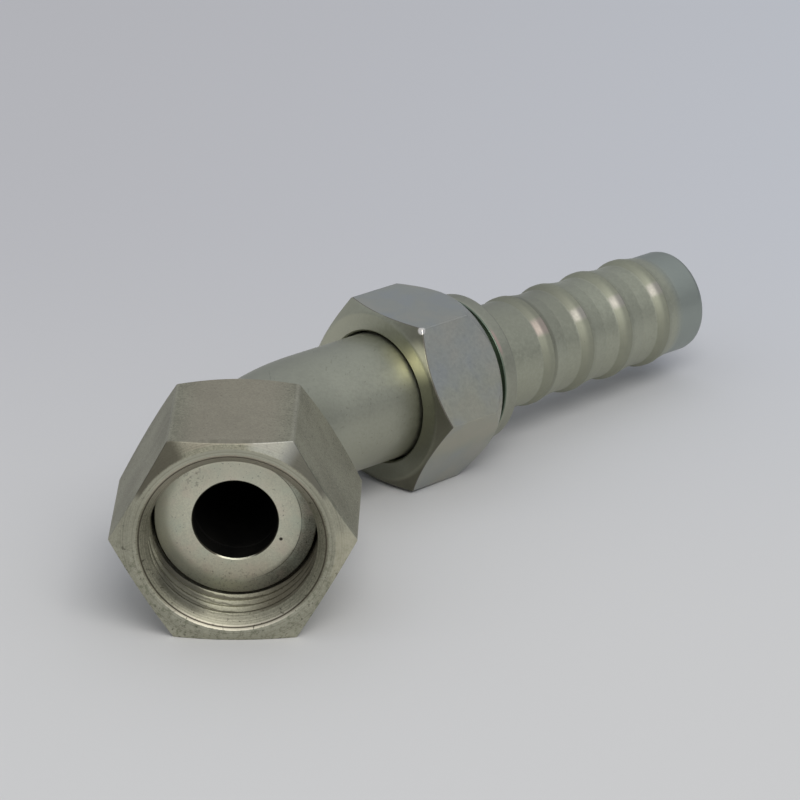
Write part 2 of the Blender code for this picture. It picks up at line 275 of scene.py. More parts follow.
def nut_section(angle):
    """Closed section of the nut at one angle. MOUTH, LIP and COUNTERSINK are (radius, depth)."""
    hexagon = bar_section(angle, NUT_APOTHEM, NUT_EDGE, (0, NUT_LAND, NUT_SLOPE, 0.5),
                          (NUT_LENGTH, BACK_LAND, BACK_SLOPE, 0.12), 0.15)
    back = [(HOLE + HOLE_CHAMFER, NUT_LENGTH, 0.05), (HOLE, NUT_LENGTH - HOLE_CHAMFER, 0.05)]
    shoulder = [(HOLE, SHOULDER + SHOULDER_CHAMFER, 0.05), (HOLE + SHOULDER_CHAMFER, SHOULDER, 0.05),
                (RELIEF, SHOULDER, 0.15), (RELIEF, THREAD_END + 0.02, 0)]
    mouth = [(MINOR, THREAD_START, 0), (*COUNTERSINK, 0.03), (*LIP, 0.02)]
    section = rounded([(*MOUTH, 0.03), *hexagon, *back, *shoulder, *mouth])
    mouth_at = len(section) - 1 - 2 * (FILLET_STEPS + 1)  # the mouth is one sharp corner and two fillets
    thread = np.stack([thread_radius(thread_depths, angle), thread_depths], -1)
    return np.concatenate([section[:mouth_at], thread, section[mouth_at:]])


nut_angles = hex_angles(18)
nut_sections = np.array([nut_section(angle) for angle in nut_angles])
no_bore = np.zeros(nut_sections.shape[1], bool)
nut = ring_piece("swivel_nut_body", sweep(nut_frame, nut_angles, nut_sections), no_bore,
                 "nut", "swivel_nut")

# %% [markdown]
# The seat sleeve is a turned ring that is brazed on the tube's end. Its flat front face seals against
# an O-ring, so it is smooth, and a wide fillet leads from it into a shallow bevel. It could be a
# curve with a Screw modifier. A section that goes round the nut's axis is the same thing, and it
# shares its angles and its fillets with the other pieces.

# %% Seat sleeve
SEAT_FACE, SEAT_FLAT, SEAT_RIM, SEAT_BACK, SEAT_BORE = 6.1, 7.45, 9.1, 13.0, 4.75
TUBE_SOCKET, SOCKET_FLOOR = 8.0, 8.8
FACE_FILLET, SEAT_STEPS = 5.0, 4
SEAT_CHAMFER, BEVEL_DEPTH = 0.15, 0.35

seat_front = [(SEAT_BORE, SEAT_FACE + SEAT_CHAMFER, 0.03), (SEAT_BORE + SEAT_CHAMFER, SEAT_FACE, 0.03),
              (SEAT_FLAT, SEAT_FACE, FACE_FILLET), (SEAT_RIM, SEAT_FACE + BEVEL_DEPTH, 0.15)]
seat_back = [(SEAT_RIM, SEAT_BACK, 0.25), (TUBE_SOCKET, SEAT_BACK, 0.1)]
seat_socket = [(TUBE_SOCKET, SOCKET_FLOOR, 0.05), (SEAT_BORE, SOCKET_FLOOR, 0.05)]
seat_section = rounded([*seat_front, *seat_back, *seat_socket], SEAT_STEPS)
seat_sections = np.repeat(seat_section[None], len(round_angles), 0)
sleeve = ring_piece("seat_sleeve_body", sweep(nut_frame, round_angles, seat_sections),
                    bore_strips(seat_section, SEAT_BORE, SEAT_FACE + 0.02),
                    "fitting_body", "seat_sleeve")

# %% [markdown]
# The tube is drawn steel tube, bent cold over a former. A curve with a bevel would do for the outside.
# Here the section is carried along the bend with one direction kept square to the bend's plane, so the
# wall has a real inside and doesn't twist. The rings are closest together in the bend.

# %% Bent tube
TUBE_RADIUS, TUBE_BORE, TUBE_START = 7.7, 4.75, 9.1
TUBE_END = HEX_AT + 5.7
OUTER_CHAMFER, INNER_CHAMFER = 0.3, 0.1

stops = np.concatenate([np.linspace(TUBE_START + OUTER_CHAMFER, BEND_START, 8)[:-1],
                        np.linspace(BEND_START, BEND_END, 40),
                        np.linspace(BEND_END, TUBE_END - OUTER_CHAMFER, 12)[1:]])
front_end = [(TUBE_BORE + INNER_CHAMFER, TUBE_START), (TUBE_RADIUS - OUTER_CHAMFER, TUBE_START)]
back_end = [(TUBE_RADIUS - OUTER_CHAMFER, TUBE_END), (TUBE_BORE + INNER_CHAMFER, TUBE_END)]
outside, bore = [(TUBE_RADIUS, s) for s in stops], [(TUBE_BORE, s) for s in stops[::-1]]
tube_line = [*front_end, *outside, *back_end, *bore]

tube_grid = np.zeros((len(round_angles), len(tube_line), 3))
for k, (radius, s) in enumerate(tube_line):
    centre, direction = along_tube(s)
    across = np.cross(downward, direction)
    ring = np.cos(round_angles)[:, None] * across + np.sin(round_angles)[:, None] * downward
    tube_grid[:, k] = centre + radius * ring
dark_strips = bore_strips(np.array(tube_line), TUBE_BORE)
dark_strips[0] = True  # the front end's face, which only the bore shows
tube = ring_piece("bent_tube_body", tube_grid, dark_strips, "fitting_body", "bent_tube")

# %% [markdown]
# The insert is turned from one piece of hexagon bar: the hexagon, a groove that locks the crimped
# ferrule, a collar, a plain neck, four barbs that hold the hose, and a rounded nose. Its numbers could
# stand in the section itself. They have names first, because the materials need many of them again.
# They are radii, and lengths behind the hexagon's front face.

# %% Sizes of the hose insert
HEX_APOTHEM, HEX_LENGTH, HEX_EDGE = 10.5, 11.0, 0.3
HEX_LAND, HEX_SLOPE = 10.2, math.radians(30)
HEX_BACK_LAND, HEX_BACK_SLOPE = 10.4, math.radians(57)
GROOVE_RADIUS, GROOVE_END = 8.2, HEX_LENGTH + 1.8
COLLAR_RADIUS, COLLAR_END = 9.1, 14.95
NECK_RADIUS, CREST_RADIUS, ROOT_RADIUS, NOSE_RADIUS = 6.53, 6.82, 6.34, 6.34
FIRST_CREST, BARB_PITCH, BARB_FRONT, CREST_WIDTH, TAPER_END = 22.7, 6.72, 0.9, 0.85, 3.5
STEP_DOWN, STEP_LENGTH = 0.1, 0.12
TIP, INSERT_BORE, SOCKET, SOCKET_DEPTH = 50.72, 4.6, 8.0, 6.0
BORE_CHAMFER, SOCKET_CHAMFER = 0.4, 0.2
crests = [FIRST_CREST + BARB_PITCH * k for k in range(4)]
print("crests behind the hexagon's front, in mm:", [round(crest, 2) for crest in crests])

# %% [markdown]
# Each barb has a steep front, a narrow crest and a long taper, so the hose slides on and doesn't come
# off. The barbs could be an Array of one barb, but then they would be loose shells. As corners of the
# one section they are part of the same skin, as they are in the real bar.

# %% Hose insert
def barb(crest):
    """Corners of one barb: both ends of its crest, a small step down, and the foot of its taper."""
    return [(CREST_RADIUS, crest, 1.2), (CREST_RADIUS, crest + CREST_WIDTH, 0.25),
            (CREST_RADIUS - STEP_DOWN, crest + CREST_WIDTH + STEP_LENGTH, 0.12),
            (ROOT_RADIUS, crest + TAPER_END, 0.6)]


def insert_section(angle):
    """Closed section of the insert at one angle."""
    hexagon = bar_section(angle, HEX_APOTHEM, HEX_EDGE, (0, HEX_LAND, HEX_SLOPE, 0.8),
                          (HEX_LENGTH, HEX_BACK_LAND, HEX_BACK_SLOPE, 0.12), 0.07)
    groove = [(GROOVE_RADIUS, HEX_LENGTH, 0.15), (GROOVE_RADIUS, GROOVE_END, 0.15)]
    collar = [(COLLAR_RADIUS, GROOVE_END, 0.12), (COLLAR_RADIUS, COLLAR_END, 0.3)]
    neck = [(NECK_RADIUS, COLLAR_END, 0.4), (NECK_RADIUS, FIRST_CREST - BARB_FRONT, 1.2)]
    barbs = barb(crests[0])
    for crest in crests[1:]:
        barbs += [(ROOT_RADIUS, crest - BARB_FRONT, 1.2), *barb(crest)]
    nose = [(NOSE_RADIUS, TIP, 0.9), (INSERT_BORE + BORE_CHAMFER, TIP, 0.1),
            (INSERT_BORE, TIP - BORE_CHAMFER, 0.1)]
    socket = [(INSERT_BORE, SOCKET_DEPTH, 0.1), (SOCKET, SOCKET_DEPTH, 0.1),
              (SOCKET, SOCKET_CHAMFER, 0.04), (SOCKET + SOCKET_CHAMFER, 0, 0.04)]
    return rounded([socket[-1], *hexagon, *groove, *collar, *neck, *barbs, *nose, *socket[:-1]])


insert_angles = hex_angles(14)
insert_sections = np.array([insert_section(angle) for angle in insert_angles])
insert = ring_piece("hose_insert_body", sweep(hex_frame, insert_angles, insert_sections),
                    bore_strips(insert_sections[0], INSERT_BORE),
                    "fitting_body", "hose_insert")

# %% [markdown]
# The steel is zinc plated and dull, and its stains and worn places lie where hands, tools and the
# lathe have left them. Painted light and shade are laid on in the same way. They could be painted as
# an image. Node masks need no image and stay sharp at any size. A small class wraps a node's socket,
# so that a mask is written as a sum or a product of other masks, and each operator adds its Math node.

# %% A mask that can be added and multiplied
class Mask:
    """An output socket of a node tree, with the operators of a number."""

    def __init__(self, tree, socket):
        self.tree, self.socket = tree, socket

    def _math(self, operation, *values):
        node = self.tree.nodes.new("ShaderNodeMath")
        node.operation = operation
        for target, value in zip(node.inputs, values):
            if isinstance(value, Mask):
                self.tree.links.new(value.socket, target)
            else:
                target.default_value = value
        return Mask(self.tree, node.outputs[0])

    def __add__(self, other):
        return self._math("ADD", self, other)

    def __radd__(self, other):
        return self._math("ADD", other, self)

    def __sub__(self, other):
        return self._math("SUBTRACT", self, other)

    def __rsub__(self, other):
        return self._math("SUBTRACT", other, self)

    def __mul__(self, other):
        return self._math("MULTIPLY", self, other)

    def __rmul__(self, other):
        return self._math("MULTIPLY", other, self)

    def __truediv__(self, other):
        return self._math("DIVIDE", self, other)

    def high(self, other):
        """The higher of this and the other."""
        return self._math("MAXIMUM", self, other)

    def root(self):
        """The square root."""
        return self._math("SQRT", self)


print("methods of a mask:", [name for name, value in vars(Mask).items() if callable(value)])

# %% [markdown]
# Any node that isn't plain maths comes from one method, which sets the node's settings, and then its
# sockets. The rest are short names for what the materials use again and again: noise, a smooth step
# up or down, a band, lines, and a mix of two colours. Node groups could do the same, but a method is
# read and changed in one place. A value that is the same everywhere is set on the shader itself, and
# needs no node.

# %% Recipes for nodes and paints
class Recipe:
    """Adds nodes to a node tree. The materials and the world are all made with it."""

    def __init__(self, tree, space):
        self.tree = tree
        self.place = self.node("ShaderNodeTexCoord", output=space)

    def node(self, kind, settings=None, output=0, **inputs):
        """Adds a node. An input is given by its name, or by i and its number, as in i0."""
        node = self.tree.nodes.new(kind)
        for key, value in (settings or {}).items():
            setattr(node, key, value)
        for key, value in inputs.items():
            target = node.inputs[int(key[1:]) if key[0] == "i" and key[1:].isdigit() else key]
            if isinstance(value, Mask):
                self.tree.links.new(value.socket, target)
            else:
                target.default_value = value
        return Mask(self.tree, node.outputs[output])

    def noise(self, scale, detail=2.0, rough=0.5, vector=None):
        """Noise round 0.5. detail is how many finer layers it has, and rough is how strong they are."""
        return self.node("ShaderNodeTexNoise", Vector=vector or self.place, Scale=scale, Detail=detail,
                         Roughness=rough)

    def step(self, value, low, high, at_low, at_high):
        """Goes smoothly from at_low to at_high while the value goes from low to high."""
        return self.node("ShaderNodeMapRange", {"interpolation_type": "SMOOTHSTEP"}, i0=value, i1=low,
                         i2=high, i3=at_low, i4=at_high)

    def rise(self, value, low, high):
        """0 where the value is under low, and 1 where it is over high."""
        return self.step(value, low, high, 0.0, 1.0)

    def fall(self, value, low, high):
        """1 where the value is under low, and 0 where it is over high."""
        return self.step(value, low, high, 1.0, 0.0)

    def band(self, value, low, high, soft):
        """1 between low and high, 0 outside, with soft ends."""
        return self.rise(value, low - soft, low + soft) * self.fall(value, high - soft, high + soft)

    def mix(self, factor, a, b):
        """Mix of two colours, each (red, green, blue) or a mask. Inputs 6 and 7 are the node's colours."""
        a, b = (c if isinstance(c, Mask) else (*c, 1) for c in (a, b))
        return self.node("ShaderNodeMix", {"data_type": "RGBA"}, output=2, i0=factor, i6=a, i7=b)

    def rings(self, value, scale):
        """Fine lines that follow a value, as a turning tool leaves them."""
        return self.node("ShaderNodeTexNoise", {"noise_dimensions": "1D"}, W=value, Scale=scale, Detail=3.0,
                         Roughness=0.7)


class Paint(Recipe):
    """A material with one Principled shader."""

    def __init__(self, name):
        self.material = bpy.data.materials.new(name)
        self.material.use_nodes = True
        super().__init__(self.material.node_tree, "Object")
        self.shader = self.tree.nodes["Principled BSDF"]

    def feed(self, name, value):
        """Links a varying value to an input of the shader."""
        self.tree.links.new(value.socket, self.shader.inputs[name])


print("methods of a recipe:", [name for name, value in vars(Recipe).items() if callable(value)])

# %% [markdown]
# The photo was taken from in front and above, with a long lens. The camera could be placed by eye. Here
# its focal length, place and tilt come from a fit to the nut's hexagon, the seat and the insert's
# tip, so that the render can be laid over the photo. The nut's place as the camera sees it, in mm,
# and three angles are enough to work out where the camera stands.

# %% Camera at the photo's angle
IMAGE_WIDTH, PIXEL_FOCUS, SENSOR = 800, 4682.0, 36
PITCH_ANGLE, YAW, TILT = 0.4123, -0.0294, 0.0087
NUT_FROM_CAMERA = np.array([-18.6879, 517.03, -15.7007])

cy, sy, cp, sp = math.cos(YAW), math.sin(YAW), math.cos(PITCH_ANGLE), math.sin(PITCH_ANGLE)
pitched, yawed = [[1, 0, 0], [0, cp, -sp], [0, sp, cp]], [[cy, -sy, 0], [sy, cy, 0], [0, 0, 1]]
turned = np.array(pitched) @ np.array(yawed)
eye = (NUT_FRONT - turned.T @ NUT_FROM_CAMERA) * MM
view_right = math.cos(TILT) * turned[0] - math.sin(TILT) * turned[2]
view_up = math.sin(TILT) * turned[0] + math.cos(TILT) * turned[2]
camera_data = bpy.data.cameras.new("camera")
camera_data.lens, camera_data.sensor_width = PIXEL_FOCUS * SENSOR / IMAGE_WIDTH, SENSOR
camera_data.clip_start, camera_data.clip_end = 0.05, 20
camera = bpy.data.objects.new("camera", camera_data)
bpy.context.scene.collection.objects.link(camera)
view_axes = Matrix([[view_right[k], view_up[k], -turned[1][k]] for k in range(3)])
camera.matrix_world = Matrix.Translation(Vector(eye)) @ view_axes.to_4x4()
bpy.context.scene.camera = camera
print("camera at", eye.round(4), "lens", round(camera_data.lens, 1))

# %% [markdown]
# The light of the photo is soft and comes mostly from in front and above. A sun or a small lamp would
# give hard shadows, so both lamps are large areas: one in front and a little to the right, and a
# much weaker one overhead. They stay at a plain level, so the part looks right under other light too.

# %% Lamps
LAMP_TINT = (1.0, 0.995, 0.97)


def soft_lamp(name, spot, size, watts):
    """A rectangular area lamp that looks at the object. Places and sizes are in metres."""
    data = bpy.data.lights.new(name, "AREA")
    data.shape, data.size, data.size_y = "RECTANGLE", *size
    data.energy, data.color = watts, LAMP_TINT
    lamp = bpy.data.objects.new(name, data)
    bpy.context.scene.collection.objects.link(lamp)
    lamp.location = spot
    lamp.rotation_euler = (-Vector(spot)).to_track_quat("-Z", "Y").to_euler()
    print("lamp", name, "at", spot, "watts:", watts)


soft_lamp("overhead", (0.0, -0.1, 1.2), size=(1.6, 1.6), watts=1.0)
soft_lamp("front", (0.28, -0.75, 0.95), size=(0.8, 0.6), watts=7.8)

# %% [markdown]
# The part lies on a pale table. The photo's table turns cooler with the distance and towards the
# right, and a white floor with coloured lamps would tint the metal as well. So the floor has the
# tones itself, in two soft steps, and it takes the part's shadow. It is a stage, not a piece.

# %% Floor
FLOOR_SIZE = 3
NEAR_TONE = (0.605, 0.597, 0.588)
FAR_LEFT_TONE, FAR_RIGHT_TONE = (0.523, 0.516, 0.529), (0.563, 0.575, 0.609)
SIDEWAYS_STEP, AWAY_STEP = (-0.07, 0.10), (-0.06, 0.10)

floor_mesh = bpy.data.meshes.new("floor")
corners = [(x * FLOOR_SIZE, y * FLOOR_SIZE, 0) for x, y in ((-1, -1), (1, -1), (1, 1), (-1, 1))]
floor_mesh.from_pydata(corners, [], [(0, 1, 2, 3)])
floor = bpy.data.objects.new("floor", floor_mesh)
bpy.context.scene.collection.objects.link(floor)

ground = Paint("pale_floor")
to_right = ground.node("ShaderNodeSeparateXYZ", output=0, Vector=ground.place)
away = ground.node("ShaderNodeSeparateXYZ", output=1, Vector=ground.place)
far_tone = ground.mix(ground.rise(to_right, *SIDEWAYS_STEP), FAR_LEFT_TONE, FAR_RIGHT_TONE)
ground.feed("Base Color", ground.mix(ground.rise(away, *AWAY_STEP), NEAR_TONE, far_tone))
ground.shader.inputs["Roughness"].default_value = 0.8
ground.shader.inputs["Specular IOR Level"].default_value = 0.2
floor.data.materials.append(ground.material)
print("floor is", 2 * FLOOR_SIZE, "m wide, with", len(ground.tree.nodes), "shader nodes")

# %% [markdown]
# Metal looks like what it mirrors, so the sky matters as much as the lamps. A picture of a room could
# light the scene. A plain sky is enough for dull zinc: pale and a little blue above, pale at the
# horizon behind the camera, and darker on the far side, which gives the flats their different tones.

# %% World
HIGH_TONE, HORIZON_TONE, FRONT_TONE = (0.56, 0.585, 0.63), (0.29, 0.30, 0.325), (0.60, 0.60, 0.60)

world = bpy.data.worlds.new("surroundings")
bpy.context.scene.world = world
world.use_nodes = True
air = Recipe(world.node_tree, "Generated")
height = air.node("ShaderNodeSeparateXYZ", output=2, Vector=air.place)
behind_camera = air.rise(0.0 - air.node("ShaderNodeSeparateXYZ", output=1, Vector=air.place), 0.2, 0.9)
sky = air.mix(air.rise(height, 0.0, 0.7), air.mix(behind_camera, HORIZON_TONE, FRONT_TONE), HIGH_TONE)
air.tree.links.new(sky.socket, air.tree.nodes["Background"].inputs["Color"])
print("world nodes:", len(air.tree.nodes))

# %% [markdown]
# All four pieces are plated with zinc, which is a dull grey with a yellow cast. One shared material
# would make them look alike, so each has its own, and all start from the same base. Slow and fine
# noise mixes two tones, the fine noise also makes the grain through a Bump, and small dark specks are
# pits where dirt has stayed. Coats of colour are then laid over this base, one over the other: some
# are dirt and wear, as they come on a real part, and some are painted light and shade.

# %% The plating that all pieces share
PIT_TONE = (0.06, 0.055, 0.04)
GRAIN_HEIGHT = 0.04 * MM


class Zinc(Paint):
    """A plated surface, whose colour is laid on in coats."""

    def __init__(self, name, dark, light, grain, pits):
        """grain is the scale of the fine noise, and pits is how high the noise stands in a pit."""
        super().__init__(name)
        self.fine = self.noise(grain, 3, 0.7)
        tone = self.rise(self.noise(150, 3, 0.6) * 0.3 + self.fine * 0.7, 0.36, 0.64)
        self.colour = self.mix(tone, dark, light)
        self.coat(self.rise(self.noise(3300, 2, 0.55), pits, pits + 0.05) * 0.65, PIT_TONE)

    def coat(self, mask, colour):
        """Lays a colour over what is there, as strongly as the mask says."""
        self.colour = self.mix(mask, self.colour, colour)

    def near(self, spot, low, high):
        """1 closer to a spot than low, and 0 further away than high, all in mm."""
        spot_in_metres = tuple(v * MM for v in spot)
        distance = self.node("ShaderNodeVectorMath", {"operation": "DISTANCE"}, output=1, i0=self.place,
                             i1=spot_in_metres)
        return self.fall(distance * (1 / MM), low, high)

    def finish(self, piece, roughness, grain, rougher=0.0):
        """Feeds the shader: metal with a rough, uneven surface. rougher adds to the roughness."""
        self.feed("Base Color", self.colour)
        self.feed("Roughness", self.step(self.fine, 0.3, 0.7, roughness - 0.04, roughness + 0.06) + rougher)
        self.feed("Normal", self.node("ShaderNodeBump", Strength=grain, Distance=GRAIN_HEIGHT,
                                      Height=self.fine))
        self.shader.inputs["Metallic"].default_value = 1.0
        piece.data.materials.append(self.material)
        print(self.material.name, "has", len(self.tree.nodes), "nodes")


print("the grain is up to", round(GRAIN_HEIGHT / MM, 3), "mm high")

# %% [markdown]
# A stain on a turned piece lies at some radius, depth and angle. Vertex groups could mark such places,
# but they are only as fine as the mesh. Here the masks are worked out from the point itself, in the
# same local frames that the shapes use, so their numbers are the mm of the drawing.

# %% Places on a turned piece
class Place:
    """Where a point lies in a local frame, in mm: its radius, its depth, and its x and y."""

    def __init__(self, paint, local):
        origin, *local_axes = local
        arm = paint.node("ShaderNodeVectorMath", {"operation": "SUBTRACT"}, i0=paint.place,
                         i1=tuple(origin * MM))
        along = [paint.node("ShaderNodeVectorMath", {"operation": "DOT_PRODUCT"}, output=1, i0=arm,
                            i1=tuple(axis)) for axis in local_axes]
        self.x, self.y, self.depth = (length * (1 / MM) for length in along)
        self.radius = (self.x * self.x + self.y * self.y).root()

    def facing(self, degrees):
        """1 at an angle round the axis, and less with the distance from it, as a cosine."""
        angle = math.radians(degrees)
        return (self.x * math.cos(angle) + self.y * math.sin(angle)) / self.radius.high(0.1)


print("methods of a place:", [name for name, value in vars(Place).items() if callable(value)])

# %% [markdown]
# The nut is the grainiest piece. Its front was faced on the lathe after the bar was drawn, so the
# land round the mouth is lighter than the flats, and more so at its top and bottom than at its sides.
# The top flat is a little browner. The masks follow the radius and the depth, so they end at the same
# edges as the geometry, with no need to mark faces by hand.

# %% Zinc of the nut: its base and its front face
nut_paint = Zinc("nut_zinc", (0.245, 0.236, 0.176), (0.405, 0.392, 0.300), grain=4600, pits=0.655)
on_nut = Place(nut_paint, nut_frame)
radius, depth, up = on_nut.radius, on_nut.depth, on_nut.y

cone_depth = depth - (radius - NUT_LAND).high(0.0) * math.tan(NUT_SLOPE)
front_skin = nut_paint.fall(cone_depth, 0.06, 0.14)
on_front = nut_paint.rise(radius, 10.65, 10.75) * front_skin
top_chamfer = nut_paint.rise(up, 5.0, 9.0) * nut_paint.rise(radius, 11.3, 11.5)
at_sides = nut_paint.rise(on_nut.x * on_nut.x, 30.0, 120.0)
nut_paint.coat(on_front * (1.0 - top_chamfer) * (0.66 - 0.30 * at_sides), (0.53, 0.525, 0.43))
top_flat = nut_paint.rise(on_nut.facing(90), 0.86, 0.97) * nut_paint.rise(radius, 11.9, 12.0)
nut_paint.coat(top_flat * 0.45, (0.46, 0.405, 0.32))
print("the nut's land goes from radius", MOUTH[0], "to", NUT_LAND, "mm")

# %% [markdown]
# Old oil has left a brown film on the right of the thread, and its roots have painted shade, nearly
# black. The tool's chatter shows as uneven lines, which noise along the depth gives. The countersink
# has painted light, bright at its top and bottom, and it is darker on its lower left. Each of these
# is one coat, so any of them can be changed by itself.

# %% Zinc of the nut: the mouth and the thread
inside = nut_paint.fall(radius, 10.45, 10.6)
threaded = inside * nut_paint.rise(depth, 1.15, 1.5)
on_right = nut_paint.rise(on_nut.x, -1.0, 5.0) * nut_paint.fall(up, -4.0, 3.0)
nut_paint.coat(inside * on_right * nut_paint.rise(depth, 0.9, 2.2) * 0.72, (0.075, 0.062, 0.042))
# painted shade: the thread's roots are painted nearly black
nut_paint.coat(threaded * nut_paint.rise(radius, 9.9, 10.2) * 0.7, (0.03, 0.026, 0.018))
chatter = nut_paint.rings(depth + nut_paint.noise(900, 2, 0.6) * 0.2, 1.3)
nut_paint.coat(threaded * nut_paint.fall(chatter, 0.42, 0.50) * 0.7, (0.06, 0.052, 0.036))

countersink = nut_paint.fall(radius, 10.7, 10.78) * nut_paint.fall(depth, 1.1, 1.3)
at_top, at_bottom = nut_paint.rise(up, 3.0, 8.0), nut_paint.fall(up, -9.6, -6.5)
# painted light: the countersink is painted bright at its top and bottom
bright = 0.5 * at_top + at_bottom * (0.12 + 0.35 * nut_paint.rise(radius, 10.15, 10.3))
nut_paint.coat(countersink * bright, (0.88, 0.81, 0.67))
lower_left = nut_paint.rise(on_nut.facing(228), 0.90, 0.98)
nut_paint.coat(inside * lower_left * nut_paint.rise(depth, 0.4, 1.0) * 0.7, (0.075, 0.073, 0.06))
print("mouth of the nut:", len(nut_paint.tree.nodes), "nodes so far")

# %% [markdown]
# The front face has fine turning lines, small dark nicks from spanners and other parts, and a mottled
# look low down, where the plating is thin. A line of painted shade marks the lip of the mouth. A nick
# could be carved into the mesh, but these are under half a millimetre wide. Noise with a narrow step
# gives spots of that size, and a second, slower noise keeps them in groups.

# %% Zinc of the nut: lines, nicks and mottle
turning_lines = nut_paint.fall(nut_paint.rings(radius, 5.0), 0.38, 0.62)
round_mouth = nut_paint.band(radius, 9.2, 12.6, 0.3) * nut_paint.fall(depth, 1.1, 1.5)
nut_paint.coat(round_mouth * turning_lines * 0.3, (0.13, 0.125, 0.085))
in_groups = nut_paint.rise(nut_paint.noise(330) - up * 0.01, 0.46, 0.62)
nicks = nut_paint.rise(nut_paint.noise(2300, 3, 0.6), 0.625, 0.655) * nut_paint.fall(depth, 0.8, 1.4)
nut_paint.coat(nicks * in_groups * 0.75, (0.07, 0.062, 0.045))

low_front = on_front * nut_paint.fall(up, -4.0, 3.0)
mottle = nut_paint.noise(1700, 4, 0.75)
nut_paint.coat(nut_paint.rise(mottle, 0.51, 0.63) * low_front * 0.6, (0.19, 0.20, 0.135))
nut_paint.coat(nut_paint.fall(mottle, 0.36, 0.48) * low_front * 0.2, (0.66, 0.65, 0.53))
# painted shade: a dark line along the lip of the mouth
lip_line = nut_paint.band(radius, 10.33, 10.5, 0.05) * nut_paint.fall(depth, 0.25, 0.4)
nut_paint.coat(lip_line * 0.85, (0.06, 0.05, 0.035))
print("front of the nut:", len(nut_paint.tree.nodes), "nodes so far")

# %% [markdown]
# Each corner of the front chamfer has its own painted light: painted shade darkens the upper left and
# upper right ones, a painted highlight lies above the upper right one, and a painted highlight lightens
# the one on the right. The edges of the bar are rubbed a little lighter where spanners slip. A coat of
# its own could be written for each corner. They differ only in angle, width and colour, so a loop over
# a short list lays them on.

# %% Zinc of the nut: corners and edges
CORNER_SHADE_AND_HIGHLIGHTS = [
    # degrees from the right, the cosines where the tone starts and is full, its strength, its colour
    (134, 0.935, 0.972, 0.85, (0.115, 0.105, 0.078)),
    (45, 0.94, 0.98, 0.80, (0.125, 0.12, 0.10)),
    (352, 0.95, 0.99, 0.25, (0.80, 0.74, 0.56)),
    (68, 0.965, 0.995, 0.30, (0.62, 0.63, 0.60)),
]
# painted shade and painted highlights on the corners of the front chamfer
chamfer = front_skin * nut_paint.rise(radius, 11.36, 11.6)
for degrees, starts, full, strength, tone in CORNER_SHADE_AND_HIGHLIGHTS:
    nut_paint.coat(chamfer * nut_paint.rise(on_nut.facing(degrees), starts, full) * strength, tone)
nut_paint.coat(nut_paint.rise(radius, 13.6, 13.8) * 0.25, (0.52, 0.50, 0.42))
nut_paint.finish(nut, roughness=0.55, grain=0.5)

# %% [markdown]
# The seat seals, so it is turned finely, and it is lighter and smoother than the nut. On the right its
# bevel has painted shade with specks, and a thin line of painted shade marks where the flat ends. An
# image would have to be very large to show such a line sharply. These masks follow the radius, so they
# stay round and sharp.

# %% Zinc of the seat sleeve: the shaded, specked bevel
seat_paint = Zinc("seat_zinc", (0.60, 0.592, 0.47), (0.75, 0.74, 0.60), grain=5600, pits=0.672)
on_seat = Place(seat_paint, nut_frame)
radius, up = on_seat.radius, on_seat.y

to_right = seat_paint.rise(on_seat.x, 0.0, 6.0)
# painted shade: a thin dark line where the flat ends, on the right
flat_end = seat_paint.band(radius, 7.38, 7.5, 0.05) * seat_paint.rise(on_seat.x, 1.0, 4.0)
seat_paint.coat(flat_end * 0.8, (0.09, 0.085, 0.065))
# painted shade on the right of the bevel, with specks
low_right = seat_paint.rise(on_seat.facing(305), 0.86, 0.98)
bevel_shade_and_specks = seat_paint.rise(radius + low_right * 0.6, 7.4, 7.6 + low_right * 0.5) * to_right
flecks = seat_paint.rise(seat_paint.noise(6500, 2, 0.7), 0.42, 0.58)
seat_paint.coat(bevel_shade_and_specks * (0.3 + 0.35 * flecks), (0.17, 0.165, 0.125))
print("worn bevel of the seat:", len(seat_paint.tree.nodes), "nodes so far")

# %% [markdown]
# Brown dirt sits low on the seat and in a patch at its upper left, and one small gouge is at the
# right. A slow noise gives the plating its bloom, faintly pink here and faintly green there. The
# bore's edge has nearly black painted shade, but for its bottom, which is left bare and catches the
# light. The flat is a little darker at its top and bottom, and the bevel has painted light on the
# left. Soft steps make all of these, because nothing on a worn surface ends at once.

# %% Zinc of the seat sleeve: dirt, bloom and tones
DIRT_PATCH, GOUGE = (-25.3, -35.2, 17.3), (-15.21, -35.27, 9.71)
NEARLY_BLACK = (0.03, 0.026, 0.018)

dirty = seat_paint.fall(up, -8.0, -4.5).high(seat_paint.near(DIRT_PATCH, 0.8, 2.4))
dirt = seat_paint.rise(seat_paint.noise(2600, 3, 0.7), 0.54, 0.62)
seat_paint.coat(dirty * dirt * 0.62, (0.15, 0.125, 0.085))
bloom = seat_paint.noise(420)
seat_paint.coat(seat_paint.rise(bloom, 0.5, 0.7) * 0.35, (0.74, 0.63, 0.52))
seat_paint.coat(seat_paint.fall(bloom, 0.3, 0.5) * 0.35, (0.60, 0.66, 0.54))
seat_paint.coat(seat_paint.near(GOUGE, 0.14, 0.26) * 0.95, NEARLY_BLACK)
# painted shade: the bore's edge is painted nearly black, but not at its bottom
glint = seat_paint.rise(on_seat.facing(270), 0.86, 0.96)
seat_paint.coat(seat_paint.fall(radius, 4.87, 4.93) * (1.0 - glint) * 0.95, NEARLY_BLACK)
flat = seat_paint.fall(radius, 7.2, 7.6)
seat_paint.coat(flat * seat_paint.fall(up, -7.0, -3.0) * 0.3, (0.58, 0.50, 0.37))
seat_paint.coat(flat * seat_paint.rise(up, 2.0, 6.0) * 0.3, (0.50, 0.48, 0.39))
# painted light: the bevel is painted lighter on the left
seat_paint.coat(seat_paint.rise(radius, 6.9, 7.9) * (1.0 - to_right) * 0.5, (0.86, 0.86, 0.70))
seat_paint.finish(sleeve, roughness=0.5, grain=0.3)

